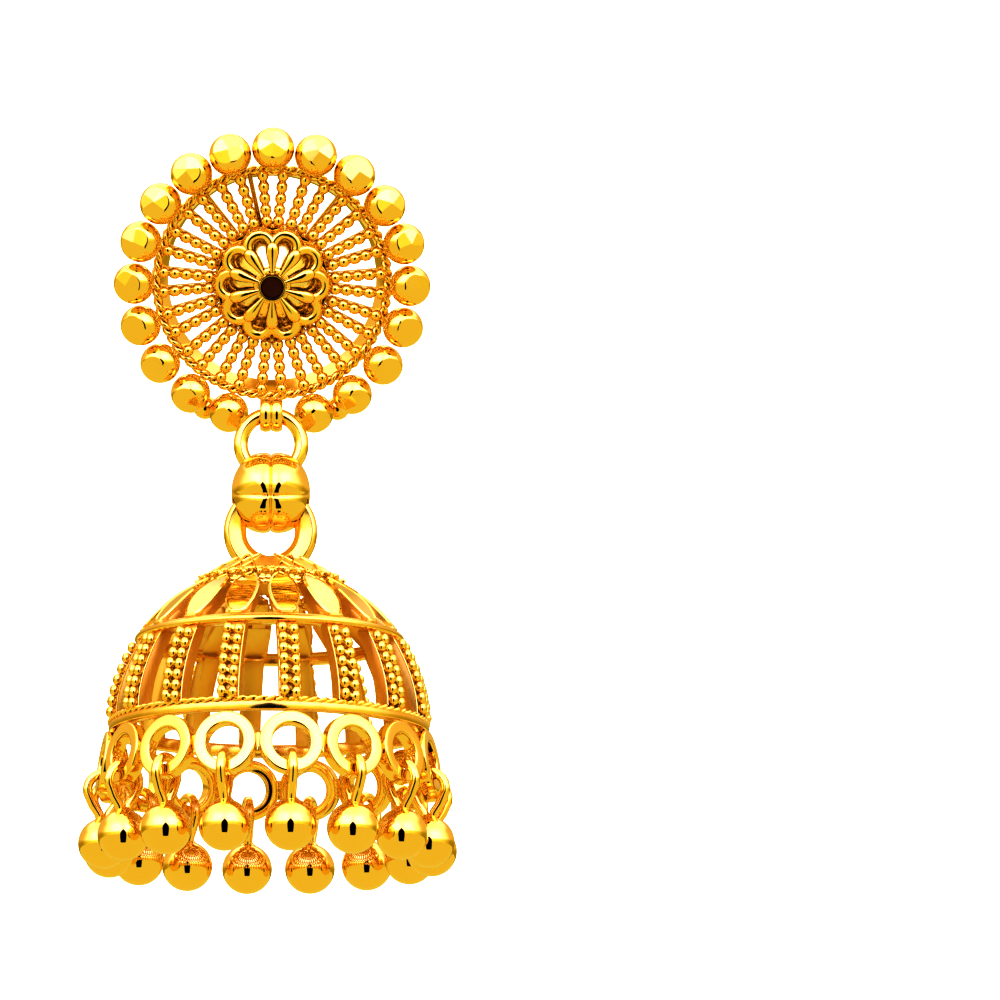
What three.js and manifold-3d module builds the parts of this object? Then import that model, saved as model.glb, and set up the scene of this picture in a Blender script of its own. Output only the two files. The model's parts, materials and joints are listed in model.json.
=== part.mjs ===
// Jhumka earring: a pierced round stud, a lobed bead on a jump ring, and an open bell with a fringe of balls.
// Millimetres, +Z up, the front at -Y. The origin is the root of the ear post on the stud's back.
import * as THREE from "three";
import { mergeVertices } from "three/addons/utils/BufferGeometryUtils.js";
import Module from "manifold-3d";

const wasm = await Module();
wasm.setup();

// Gaps between pieces
const solderGap = 0.05;
const runningGap = 0.12;

// Stud frame
const studLean = 24;
const ropeRadius = 7.23;
const ropeWire = 0.52;
const rimDepth = 1.4;
const rimRearRadius = 6.5;
const rimWall = 0.4;
const hubRadius = 3.6;
const hubWall = 0.6;
const hubLift = 0.15;
const spokePairs = 16;
const spokeSplay = 5.3;
const spokeWidth = 0.46;
const spokeLift = 0.18;
const backPlate = 0.4;
const rearRibAngles = [-38, -12.5, 38];
const rearRibWidth = 0.35;

// Rim beads
const rimPlaces = 20;
const bailAngle = 180;
const rimBeadRadius = 1.28;
const rimBeadLift = 0.75;
const rimBeadLean = 20;
const facetCount = 5;
const facetSlope = 15;
const facetReach = 0.845;
const rearBeadRadius = 0.75;
const rearBeadTurn = 65;
const rearBeadPlace = 1.5;

// Rosette, collet and centre
const rosetteLobes = 10;
const rosetteRadius = 3.6;
const lobeRadius = 1.05;
const archWidth = 0.37;
const windowTip = 1.3;
const windowSweep = 105;
const rosetteWall = 0.5;
const rosetteRimLift = 0.75;
const rosetteTopLift = 1.45;
const ribLength = 1.9;
const ribWidth = 0.74;
const ribHeight = 0.55;
const colletRadius = 0.83;
const colletWall = 0.15;
const colletTopLift = 1.8;
const colletDepth = 0.9;
const discInset = 0.25;
const discThickness = 0.2;

// Ear post
const postPadRadius = 1.5;
const postPadThickness = 0.5;
const postRadius = 0.45;
const postLength = 11;
const postTaper = 0.15;

// Bail and jump ring
const ringRadius = 1.9;
const ringWire = 0.9;
const bailWidth = 1.45;
const bailWall = 0.26;
const bailGroove = 0.16;
const bailNeckWidth = 0.95;
const bailNeckDepth = 0.6;
const bailReach = 8.0;
const bailForward = 2.2;

// Lobed bead and bell loop
const beadWidth = 4.9;
const beadHeight = 5.2;
const beadDrop = 3.1;
const beadGroove = 0.28;
const loopDrop = 5.58;
const loopRadius = 2.92;
const loopBand = 1.25;
const loopDepth = 1.2;
const loopSeat = 7.45;

// Bell
const bellFold = 16;
const bellPhase = 7.5;
const crownHeight = 4.6;
const crownRadius = 7.95;
const crownCapFlat = 2.2;
const crownCapRadius = 4.2;
const crownCapDrop = 1.3;
const crownCapWall = 0.6;
const crownRingHeight = 0.3;
const crownRingWall = 0.75;
const petalWidth = 1.75;
const petalDepth = 0.95;
const petalProud = 0.15;
const petalSeat = 0.4;
const midBandRadius = 8.32;
const midBandHeight = 0.6;
const midBandDepth = 1.0;
const pillarHeight = 4.85;
const pillarWidth = 1.25;
const pillarDepth = 1.0;
const pillarInset = 0.1;
const ropeBandRadius = 9.95;
const ropeBandHeight = 0.75;
const ropeBandDepth = 0.85;
const ropeBandChamfer = 0.2;

// Fringe
const washerOutset = 0.1;
const washerHole = 1.175;
const washerDepth = 0.85;
const washerFlare = 8;
const washerLap = 0.02;
const dropWire = 0.5;
const dropLoopWidth = 2.6;
const dropLoopLength = 3.05;
const ballRadius = 1.58;

// Sides of the round faceted forms
const ringSides = 32;
const smallSides = 16;
const washerSides = 12;
const beadSides = 10;
const wireSides = 5;

const degrees = THREE.MathUtils.degToRad;

const gold = new THREE.MeshStandardMaterial({ color: 0xf2b02e, roughness: 0.16, metalness: 1 });
const darkEnamel = new THREE.MeshStandardMaterial({ color: 0x2b0b02, roughness: 0.35, metalness: 0 });

// A closed three.js geometry as a solid for joining and cutting
function solidFrom(geometry) {
  const bare = geometry.clone();
  bare.deleteAttribute("normal");
  bare.deleteAttribute("uv");
  const merged = mergeVertices(bare, 1e-5);
  const mesh = new wasm.Mesh({
    numProp: 3,
    vertProperties: new Float32Array(merged.attributes.position.array),
    triVerts: new Uint32Array(merged.index.array),
  });
  return new wasm.Manifold(mesh);
}

function geometryFrom(solid) {
  const mesh = solid.getMesh();
  const geometry = new THREE.BufferGeometry();
  geometry.setAttribute("position", new THREE.BufferAttribute(new Float32Array(mesh.vertProperties), 3));
  geometry.setIndex(new THREE.BufferAttribute(new Uint32Array(mesh.triVerts), 1));
  geometry.computeVertexNormals();
  return geometry;
}

function joined(geometries) {
  return geometries.map(solidFrom).reduce((sum, solid) => sum.add(solid));
}

function cutBelow(solid, level, size) {
  const below = new THREE.BoxGeometry(size, size, size).translate(0, 0, level - size / 2);
  return solid.subtract(solidFrom(below));
}

// A closed profile of [radius, height] points turned about the local Z axis
function turnedRing(points, sides = ringSides) {
  const outline = [...points, points[0]].map(([r, z]) => new THREE.Vector2(r, z));
  return new THREE.LatheGeometry(outline, sides).rotateX(Math.PI / 2);
}

// A profile that starts and ends on the axis, turned about the local Z axis
function turnedSolid(points, sides = ringSides) {
  const outline = points.map(([r, z]) => new THREE.Vector2(r, z));
  return new THREE.LatheGeometry(outline, sides).rotateX(Math.PI / 2);
}

// An outline in [along, up] coordinates, given a width square to it and centred on it
function slab(points, width) {
  const shape = new THREE.Shape(points.map(([a, b]) => new THREE.Vector2(a, b)));
  const geometry = new THREE.ExtrudeGeometry(shape, { depth: width, bevelEnabled: false });
  return geometry.translate(0, 0, -width / 2).rotateX(Math.PI / 2);
}

function piece(name, geometry, material = gold) {
  const mesh = new THREE.Mesh(geometry, material);
  mesh.name = name;
  return mesh;
}

// Stud, in its own upright frame: x right, y up in the disc, z out of the front

// A bar that lies along a radius at an angle from the top, with its outline in [radius, height]
function radialBar(angle, width, outline) {
  return slab(outline, width).rotateZ(Math.PI / 2 - degrees(angle));
}

function studFrame() {
  const half = ropeWire / 2;
  const crest = half / 2;
  const rim = turnedRing([
    [rimRearRadius, -rimDepth],
    [rimRearRadius + rimWall, -rimDepth],
    [ropeRadius + half, 0],
    [ropeRadius + crest, half],
    [ropeRadius - crest, half],
    [ropeRadius - half, 0],
  ]);
  const hub = turnedSolid([
    [0, -rimDepth],
    [hubRadius, -rimDepth],
    [hubRadius, hubLift],
    [hubRadius - hubWall, hubLift],
    [hubRadius - hubWall, backPlate - rimDepth],
    [0, backPlate - rimDepth],
  ], smallSides);
  const inner = hubRadius - hubWall / 2;
  const rear = rimRearRadius + rimWall / 2;
  const ribTop = rimWall - rimDepth;
  const spokeOutline = [
    [inner, ribTop],
    [rear, ribTop],
    [ropeRadius, spokeLift],
    [inner, spokeLift],
  ];
  const ribOutline = [[inner, -rimDepth], [rear, -rimDepth], [rear, ribTop], [inner, ribTop]];
  const parts = [rim, hub];
  for (let pair = 0; pair < spokePairs; pair += 1) {
    const middle = (360 / spokePairs) * pair;
    parts.push(radialBar(middle - spokeSplay, spokeWidth, spokeOutline));
    parts.push(radialBar(middle + spokeSplay, spokeWidth, spokeOutline));
  }
  parts.push(...rearRibAngles.map((angle) => radialBar(angle, rearRibWidth, ribOutline)));
  return geometryFrom(joined(parts));
}

// The lobes of the rosette are circles set round its middle, and each window is a drop shape inside one
function rosetteOutline() {
  const centre = rosetteRadius - lobeRadius;
  const half = Math.PI / rosetteLobes;
  const reach = Math.asin((centre * Math.sin(half)) / lobeRadius) + half;
  const arcSteps = 3;
  const point = (middle, radius, turn) => new THREE.Vector2(
    centre * Math.cos(middle) + radius * Math.cos(middle + turn),
    centre * Math.sin(middle) + radius * Math.sin(middle + turn),
  );
  const outline = [];
  const windows = [];
  for (let lobe = 0; lobe < rosetteLobes; lobe += 1) {
    const middle = lobe * 2 * half;
    const window = [new THREE.Vector2(windowTip * Math.cos(middle), windowTip * Math.sin(middle))];
    for (let step = 0; step <= arcSteps; step += 1) {
      const share = (2 * step) / arcSteps - 1;
      if (step < arcSteps) outline.push(point(middle, lobeRadius, share * reach));
      window.push(point(middle, lobeRadius - archWidth, share * degrees(windowSweep)));
    }
    windows.push(new THREE.Path(window));
  }
  const shape = new THREE.Shape(outline);
  shape.holes = windows;
  return shape;
}

function rosette() {
  const bore = colletRadius + solderGap;
  const slope = (rosetteTopLift - rosetteRimLift) / (rosetteRadius - bore);
  const outer = rosetteRadius / Math.cos(Math.PI / rosetteLobes) + solderGap;
  const dome = solidFrom(turnedRing([
    [bore, rosetteTopLift - rosetteWall],
    [outer, rosetteRimLift - rosetteWall],
    [outer, rosetteRimLift],
    [bore, rosetteTopLift],
  ], rosetteLobes));
  const cutHeight = 4 * rosetteTopLift;
  const pattern = new THREE.ExtrudeGeometry(rosetteOutline(), { depth: cutHeight, bevelEnabled: false });
  pattern.translate(0, 0, -cutHeight / 2);
  let solid = dome.intersect(solidFrom(pattern));
  for (let rib = 0; rib < rosetteLobes; rib += 1) {
    const drop = new THREE.SphereGeometry(0.5, 6, 3);
    drop.scale(ribWidth, ribLength, ribHeight);
    drop.rotateX(-Math.atan(slope));
    const middle = bore + ribLength / 2;
    drop.translate(0, middle, rosetteTopLift - slope * (middle - bore));
    drop.rotateZ(-(2 * Math.PI * rib) / rosetteLobes);
    solid = solid.add(solidFrom(drop));
  }
  const opening = new THREE.CylinderGeometry(bore, bore, cutHeight, smallSides).rotateX(Math.PI / 2);
  return geometryFrom(solid.subtract(solidFrom(opening)));
}

function collet() {
  const inner = colletRadius - colletWall;
  const seat = colletTopLift - discInset - discThickness - solderGap;
  return turnedSolid([
    [0, colletTopLift - colletDepth],
    [colletRadius, colletTopLift - colletDepth],
    [colletRadius, colletTopLift],
    [inner, colletTopLift],
    [inner, seat],
    [0, seat],
  ], smallSides);
}

function centreDisc() {
  const radius = colletRadius - colletWall - solderGap;
  const disc = new THREE.CylinderGeometry(radius, radius, discThickness, smallSides).rotateX(Math.PI / 2);
  return disc.translate(0, 0, colletTopLift - discInset - discThickness / 2);
}

// A smooth ball cut by a shallow pyramid, which leaves flat facets that meet at a point
function facetedBead() {
  const ball = new THREE.SphereGeometry(rimBeadRadius, beadSides, 5).rotateX(Math.PI / 2);
  const slope = degrees(facetSlope);
  const height = 2 * rimBeadRadius;
  const apex = (facetReach * rimBeadRadius) / Math.cos(slope);
  const apothem = height / Math.tan(slope);
  const base = apothem / Math.cos(Math.PI / facetCount);
  const pyramid = new THREE.ConeGeometry(base, height, facetCount).rotateX(Math.PI / 2);
  pyramid.translate(0, 0, apex - height / 2);
  return geometryFrom(solidFrom(ball).intersect(solidFrom(pyramid)));
}

const rimPitch = 360 / rimPlaces;
const rimBeadCircle = ropeRadius
  + Math.sqrt((rimBeadRadius + ropeWire / 2 + solderGap) ** 2 - rimBeadLift ** 2);

function placedOnRim(mesh, angle, circle, lift) {
  const turn = degrees(angle);
  mesh.position.set(circle * Math.sin(turn), circle * Math.cos(turn), lift);
  return mesh;
}

// The place at the bail's angle is left free
function rimBeads() {
  const geometry = facetedBead();
  const beads = [];
  for (let place = 1; place < rimPlaces; place += 1) {
    const angle = bailAngle + place * rimPitch;
    const number = String(place).padStart(2, "0");
    const bead = placedOnRim(piece(`rim_bead_${number}`, geometry), angle, rimBeadCircle, rimBeadLift);
    bead.rotation.order = "ZXY";
    bead.rotation.set(-degrees(rimBeadLean), 0, -degrees(angle));
    beads.push(bead);
  }
  return beads;
}

// A rear bead rests on two neighbouring rim beads, turned back from the rim about the line between them
function rearBeads() {
  const across = rimBeadCircle * Math.sin(degrees(rimPitch / 2));
  const arm = Math.sqrt((rimBeadRadius + rearBeadRadius + solderGap) ** 2 - across ** 2);
  const circle = rimBeadCircle * Math.cos(degrees(rimPitch / 2)) + arm * Math.cos(degrees(rearBeadTurn));
  const lift = rimBeadLift - arm * Math.sin(degrees(rearBeadTurn));
  const turn = rearBeadPlace * rimPitch;
  const geometry = new THREE.SphereGeometry(rearBeadRadius, beadSides, 5);
  return [
    placedOnRim(piece("rear_bead_left", geometry), bailAngle + turn, circle, lift),
    placedOnRim(piece("rear_bead_right", geometry), bailAngle - turn, circle, lift),
  ];
}

const padRear = -(rimDepth + solderGap + postPadThickness);

function earPost() {
  const tip = padRear - postLength;
  return turnedSolid([
    [0, tip],
    [postRadius - postTaper, tip],
    [postRadius, tip + 2 * postTaper],
    [postRadius, padRear],
    [postPadRadius, padRear],
    [postPadRadius, padRear + postPadThickness],
    [0, padRear + postPadThickness],
  ], washerSides);
}

// The bail is a grooved barrel across the stud, on a neck that is soldered to the foot of the rim
const bailHole = ringWire / 2 + runningGap
  + ringRadius - Math.sqrt(ringRadius ** 2 - (bailWidth / 2) ** 2);

// Each row: how far along the barrel, as a share of half its width, and how deep, as a share of the groove
const bailRows = [
  { along: -1.0, groove: 1 },
  { along: -0.6, groove: 0 },
  { along: -0.2, groove: 0 },
  { along: 0.0, groove: 1 },
  { along: 0.2, groove: 0 },
  { along: 0.6, groove: 0 },
  { along: 1.0, groove: 1 },
];

function dropBail() {
  const outer = bailHole + bailWall;
  const half = bailWidth / 2;
  const side = bailRows.map((row) => [outer - row.groove * bailGroove, row.along * half]);
  const barrel = turnedSolid([[0, -half], ...side, [0, half]], smallSides).rotateY(Math.PI / 2);
  barrel.translate(0, -bailReach, bailForward);
  const foot = -(ropeRadius + ropeWire / 2 + solderGap);
  const wall = (bailHole + outer) / 2;
  const neck = slab([
    [-bailReach + wall, bailForward],
    [foot, ropeWire],
    [foot, -rimDepth / 2],
    [foot - bailNeckDepth, -rimDepth / 2],
    [-bailReach, bailForward - wall],
  ], bailNeckWidth).rotateZ(Math.PI / 2);
  const hole = new THREE.CylinderGeometry(bailHole, bailHole, bailWidth * 2, smallSides).rotateZ(Math.PI / 2);
  hole.translate(0, -bailReach, bailForward);
  return geometryFrom(joined([barrel, neck]).subtract(solidFrom(hole)));
}

// Pendant, in its own frame: z up, origin at the middle of the jump ring

function jumpRing() {
  return new THREE.TorusGeometry(ringRadius, ringWire / 2, wireSides, smallSides).rotateX(Math.PI / 2);
}

// Each row: how far out across the band, and half its thickness there, as shares of the band and the depth
const loopRows = [
  { out: 0.0, half: 0.17 },
  { out: 0.25, half: 0.5 },
  { out: 0.88, half: 0.5 },
  { out: 1.0, half: 0.3 },
];

function bellLoop() {
  const face = (side) => loopRows.map((row) => (
    [loopRadius - loopBand * (1 - row.out), side * row.half * loopDepth]
  ));
  const ring = turnedRing([...face(-1), ...face(1).reverse()], smallSides);
  ring.rotateX(-Math.PI / 2).translate(0, 0, -loopDrop);
  return geometryFrom(cutBelow(solidFrom(ring), -loopSeat, 4 * loopRadius));
}

function lobedBead() {
  const profile = [];
  const steps = 8;
  for (let step = 0; step <= steps; step += 1) {
    const turn = -Math.PI / 2 + (Math.PI * step) / steps;
    const radius = step === 0 || step === steps ? 0 : (beadWidth / 2) * Math.cos(turn);
    if (step === steps / 2) {
      profile.push([radius, -beadGroove]);
      profile.push([radius - beadGroove, 0]);
      profile.push([radius, beadGroove]);
    } else {
      profile.push([radius, (beadHeight / 2) * Math.sin(turn)]);
    }
  }
  const body = turnedSolid(profile, washerSides).translate(0, 0, -beadDrop);
  const groove = new THREE.TorusGeometry(1, (2 * beadGroove) / beadWidth, 4, smallSides).rotateY(Math.PI / 2);
  groove.scale(beadWidth / 2, beadWidth / 2, beadHeight / 2).translate(0, 0, -beadDrop);
  const wayRadius = ringWire / 2 + runningGap;
  const ringWay = new THREE.TorusGeometry(ringRadius, wayRadius, wireSides, smallSides).rotateX(Math.PI / 2);
  const inner = loopRadius - loopBand - solderGap;
  const outer = loopRadius + solderGap;
  const half = loopDepth / 2 + solderGap;
  const loopWay = turnedRing([[inner, -half], [outer, -half], [outer, half], [inner, half]], smallSides);
  loopWay.rotateX(-Math.PI / 2).translate(0, 0, -loopDrop);
  const cuts = [groove, ringWay, loopWay];
  return geometryFrom(cuts.reduce((solid, cut) => solid.subtract(solidFrom(cut)), solidFrom(body)));
}

// Crown of the bell: a domed cap, flat leaf-shaped struts and a foot ring
const crownTop = -(loopSeat + solderGap);
const crownFoot = crownTop - crownHeight;

function roundBell(makeGeometry) {
  const copies = [];
  for (let place = 0; place < bellFold; place += 1) {
    copies.push(makeGeometry().rotateZ(degrees(bellPhase + (360 / bellFold) * place - 90)));
  }
  return copies;
}

// Each row: how far along the petal, as a share of its length, and half its width, as a share of the widest
const petalRows = [
  { along: 0.0, half: 0.2 },
  { along: 0.3, half: 0.8 },
  { along: 0.72, half: 1.0 },
  { along: 1.0, half: 0.72 },
];

function petal() {
  const rise = crownHeight - crownCapDrop - crownRingHeight / 2;
  const run = crownRadius - crownCapRadius;
  const length = Math.hypot(rise, run) + petalSeat;
  const edge = (side) => petalRows.map((row) => (
    new THREE.Vector2(row.along * length - petalSeat, (side * row.half * petalWidth) / 2)
  ));
  const shape = new THREE.Shape([...edge(-1), ...edge(1).reverse()]);
  const leaf = new THREE.ExtrudeGeometry(shape, { depth: petalDepth, bevelEnabled: false });
  leaf.translate(0, 0, petalProud - petalDepth).rotateY(Math.atan2(rise, run));
  return leaf.translate(crownCapRadius, 0, crownTop - crownCapDrop);
}

function petalCrown() {
  const cap = turnedSolid([
    [0, crownTop - crownCapWall],
    [crownCapFlat, crownTop - crownCapWall],
    [crownCapRadius - crownCapWall / 2, crownTop - crownCapDrop - crownCapWall / 2],
    [crownCapRadius, crownTop - crownCapDrop],
    [crownCapFlat, crownTop],
    [0, crownTop],
  ], 2 * bellFold);
  const ring = turnedRing([
    [crownRadius - crownRingWall, crownFoot],
    [crownRadius, crownFoot],
    [crownRadius, crownFoot + crownRingHeight],
    [crownRadius - crownRingWall, crownFoot + crownRingHeight],
  ], 2 * bellFold);
  return geometryFrom(cutBelow(joined([cap, ring, ...roundBell(petal)]), crownFoot, 4 * crownRadius));
}

// Cage of the bell: the mid band, the pillars and the rope band
const midBandTop = crownFoot - solderGap;
const pillarTop = midBandTop - midBandHeight;
const pillarBase = pillarTop - pillarHeight;
const ropeBandBase = pillarBase - ropeBandHeight;

// Each row: how far out towards the foot, and how far down, as shares of the swell and of the height
const pillarRows = [
  { swell: 0.0, fall: -0.06 },
  { swell: 0.5, fall: 0.25 },
  { swell: 0.85, fall: 0.6 },
  { swell: 1.0, fall: 1.06 },
];

function pillar() {
  const outer = pillarRows.map((row) => [
    midBandRadius + row.swell * (ropeBandRadius - pillarInset - midBandRadius),
    pillarTop - row.fall * pillarHeight,
  ]);
  const inner = outer.map(([r, z]) => [r - pillarDepth, z]);
  return slab([...outer, ...inner.reverse()], pillarWidth);
}

function bellCage() {
  const midBand = turnedRing([
    [midBandRadius - midBandDepth, pillarTop],
    [midBandRadius, pillarTop],
    [midBandRadius, midBandTop],
    [midBandRadius - midBandDepth, midBandTop],
  ], 2 * bellFold);
  const ropeBand = turnedRing([
    [ropeBandRadius - ropeBandDepth, ropeBandBase],
    [ropeBandRadius, ropeBandBase],
    [ropeBandRadius, pillarBase - ropeBandChamfer],
    [ropeBandRadius - ropeBandChamfer, pillarBase],
    [ropeBandRadius - ropeBandDepth, pillarBase],
  ], 2 * bellFold);
  return geometryFrom(joined([midBand, ropeBand, ...roundBell(pillar)]));
}

// Fringe: washers side by side on a flared circle, each with a wire loop and a ball hung in it
const washerCircle = ropeBandRadius + washerOutset;
const washerRadius = washerCircle * Math.sin(Math.PI / bellFold) + washerLap;
const washerLevel = ropeBandBase - solderGap - washerRadius * Math.cos(degrees(washerFlare))
  - (washerDepth / 2) * Math.sin(degrees(washerFlare));

function washer() {
  const ring = turnedRing([
    [washerHole, -washerDepth / 2],
    [washerRadius, -washerDepth / 2],
    [washerRadius, washerDepth / 2],
    [washerHole, washerDepth / 2],
  ], washerSides);
  ring.rotateY(Math.PI / 2).rotateX(Math.PI / 2).rotateY(-degrees(washerFlare));
  return ring.translate(washerCircle, 0, washerLevel);
}

function washerRow() {
  return geometryFrom(joined(roundBell(washer)));
}

const dropCircle = washerCircle + washerHole * Math.sin(degrees(washerFlare));
const archRadius = (dropLoopWidth - dropWire) / 2;
const archInside = archRadius - dropWire / 2;
const archSeat = Math.sqrt(archInside ** 2 - (washerDepth / 2 + runningGap) ** 2) - solderGap;
const dropArch = washerLevel - washerHole * Math.cos(degrees(washerFlare)) - archSeat;

// The side of a drop's wire loop from its foot to its arch: how far out, as a share of the arch's radius,
// and how far up, as a share of the length below the arch's middle
const loopSideRows = [
  { out: 0.26, up: -0.12 },
  { out: 0.34, up: 0.1 },
  { out: 0.94, up: 0.84 },
];

// A hanging drop, in its own frame: z up, origin at the middle of the loop's arch, the loop in the XZ plane
function ballDrop() {
  const foot = archRadius - dropLoopLength + dropWire / 2;
  const side = (way) => loopSideRows.map((row) => (
    new THREE.Vector3(way * row.out * archRadius, 0, foot * (1 - row.up))
  ));
  const arch = [150, 90, 30].map((turn) => (
    new THREE.Vector3(archRadius * Math.cos(degrees(turn)), 0, archRadius * Math.sin(degrees(turn)))
  ));
  const path = new THREE.CatmullRomCurve3([...side(-1), ...arch, ...side(1).reverse()], false, "centripetal");
  const section = new THREE.Shape();
  for (let side = 0; side < wireSides; side += 1) {
    const turn = (2 * Math.PI * side) / wireSides;
    const x = (dropWire / 2) * Math.cos(turn);
    const y = (dropWire / 2) * Math.sin(turn);
    if (side === 0) section.moveTo(x, y);
    else section.lineTo(x, y);
  }
  const wire = new THREE.ExtrudeGeometry(section, { steps: 7, extrudePath: path, bevelEnabled: false });
  const ball = new THREE.SphereGeometry(ballRadius, beadSides, 5).rotateX(Math.PI / 2);
  ball.translate(0, 0, foot - ballRadius);
  return geometryFrom(joined([wire, ball]));
}

function ballDrops() {
  const geometry = ballDrop();
  const drops = [];
  for (let place = 0; place < bellFold; place += 1) {
    const turn = degrees(bellPhase + (360 / bellFold) * place - 90);
    const drop = piece(`ball_drop_${String(place + 1).padStart(2, "0")}`, geometry);
    drop.position.set(dropCircle * Math.cos(turn), dropCircle * Math.sin(turn), dropArch);
    drop.rotation.z = turn;
    drops.push(drop);
  }
  return drops;
}

const stud = new THREE.Group();
stud.add(piece("stud_frame", studFrame()));
stud.add(piece("rosette", rosette()));
stud.add(piece("collet", collet()));
stud.add(piece("centre_disc", centreDisc(), darkEnamel));
stud.add(...rimBeads(), ...rearBeads());
stud.add(piece("drop_bail", dropBail()));
stud.add(piece("ear_post", earPost()));
stud.rotation.x = degrees(90 + studLean);
stud.position.set(0, padRear * Math.cos(degrees(studLean)), padRear * Math.sin(degrees(studLean)));

const pendant = new THREE.Group();
pendant.add(piece("jump_ring", jumpRing()));
pendant.add(piece("lobed_bead", lobedBead()));
pendant.add(piece("bell_loop", bellLoop()));
pendant.add(piece("petal_crown", petalCrown()));
pendant.add(piece("bell_cage", bellCage()));
pendant.add(piece("washer_row", washerRow()));
pendant.add(...ballDrops());
const eye = new THREE.Vector3(0, -bailReach, bailForward).applyEuler(stud.rotation).add(stud.position);
pendant.position.set(eye.x, eye.y, eye.z - ringRadius);

const earring = new THREE.Group();
earring.add(stud, pendant);

export default earring;
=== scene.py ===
import json
import math
import bmesh
import bpy
from mathutils import Matrix, Vector


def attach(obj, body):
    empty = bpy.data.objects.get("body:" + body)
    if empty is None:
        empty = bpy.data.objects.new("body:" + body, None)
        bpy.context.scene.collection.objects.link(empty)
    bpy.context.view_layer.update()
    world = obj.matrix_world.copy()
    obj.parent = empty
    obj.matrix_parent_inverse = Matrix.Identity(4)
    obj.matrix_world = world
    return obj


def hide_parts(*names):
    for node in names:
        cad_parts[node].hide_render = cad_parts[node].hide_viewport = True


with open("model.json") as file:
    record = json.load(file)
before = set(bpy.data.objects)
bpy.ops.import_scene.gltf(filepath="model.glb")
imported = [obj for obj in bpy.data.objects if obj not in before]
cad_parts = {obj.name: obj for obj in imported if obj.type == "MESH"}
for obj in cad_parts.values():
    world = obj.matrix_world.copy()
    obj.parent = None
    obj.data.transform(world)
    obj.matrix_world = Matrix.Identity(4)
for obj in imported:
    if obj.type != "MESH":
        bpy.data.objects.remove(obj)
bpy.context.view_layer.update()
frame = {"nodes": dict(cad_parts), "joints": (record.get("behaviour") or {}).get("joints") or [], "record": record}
print("frame loaded:", len(frame["nodes"]), "nodes")

# Where the stud and the bell hang: x right, y up in the stud's disc and z out of its front; z up in the bell
mounts = {mount["name"]: mount for mount in frame["record"]["mounts"]}
joints = {joint["name"]: joint for joint in frame["joints"]}
postWay = Vector(mounts["ear_post"]["axis"])
ringMiddle = Vector(joints["drop_sway"]["pos_m"])
padDepth = 1.95  # from the stud's middle plane to the rear of the post's pad
mm = 0.001
studTurn = Matrix((Vector((1, 0, 0)), (-postWay).cross(Vector((1, 0, 0))), -postWay)).transposed().to_4x4()
studPlace = Matrix.Translation(-postWay * padDepth * mm) @ studTurn @ Matrix.Scale(mm, 4)
bellPlace = Matrix.Translation(ringMiddle) @ Matrix.Scale(mm, 4)

# Shape helpers, all in millimetres in the stud's or the bell's own frame


def newVerts(result):
    return [item for item in result["geom"] if isinstance(item, bmesh.types.BMVert)]


def newEdges(result):
    return [item for item in result["geom"] if isinstance(item, bmesh.types.BMEdge)]


def everything(bm):
    return bm.verts[:] + bm.edges[:] + bm.faces[:]


def turnAbout(axis, degrees):
    return Matrix.Rotation(math.radians(degrees), 4, axis)


def rounded(points, radius, steps=3):
    # each corner of a closed outline becomes a short curve
    outline = []
    for index, corner in enumerate(points):
        here = Vector(corner)
        for neighbour, way in ((points[index - 1], 0), (points[(index + 1) % len(points)], 1)):
            there = Vector(neighbour)
            cut = here + (there - here).normalized() * min(radius, (there - here).length * 0.45)
            if way == 0:
                start = cut
            else:
                end = cut
        for step in range(steps + 1):
            share = step / steps
            outline.append(start * (1 - share) ** 2 + here * 2 * share * (1 - share) + end * share ** 2)
    return [tuple(point) for point in outline]


def turned(bm, profile, sides, closed=True, place=None):
    # a profile of (radius, height) points spun about z
    verts = [bm.verts.new((r, 0, z)) for r, z in profile]
    pairs = list(zip(verts, verts[1:] + verts[:1])) if closed else list(zip(verts, verts[1:]))
    edges = [bm.edges.new(pair) for pair in pairs]
    before = set(bm.verts)
    bmesh.ops.spin(bm, geom=verts + edges, cent=(0, 0, 0), axis=(0, 0, 1), angle=2 * math.pi,
                   steps=sides, use_merge=True)
    made = verts + [vert for vert in bm.verts if vert not in before]
    if place is not None:
        bmesh.ops.transform(bm, matrix=place, verts=made)
    return made


def ball(bm, radius, place, around=8, rows=6):
    made = bmesh.ops.create_uvsphere(bm, u_segments=around, v_segments=rows, radius=radius, matrix=place)
    return made["verts"]


def block(bm, size, place, bevel=0.0, segments=2):
    made = bmesh.ops.create_cube(bm, size=1, matrix=place @ Matrix.Diagonal((*size, 1)))["verts"]
    if bevel > 0:
        edges = list({edge for vert in made for edge in vert.link_edges})
        bmesh.ops.bevel(bm, geom=edges, offset=bevel, segments=segments, affect="EDGES", profile=0.5,
                        material=-1)


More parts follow.
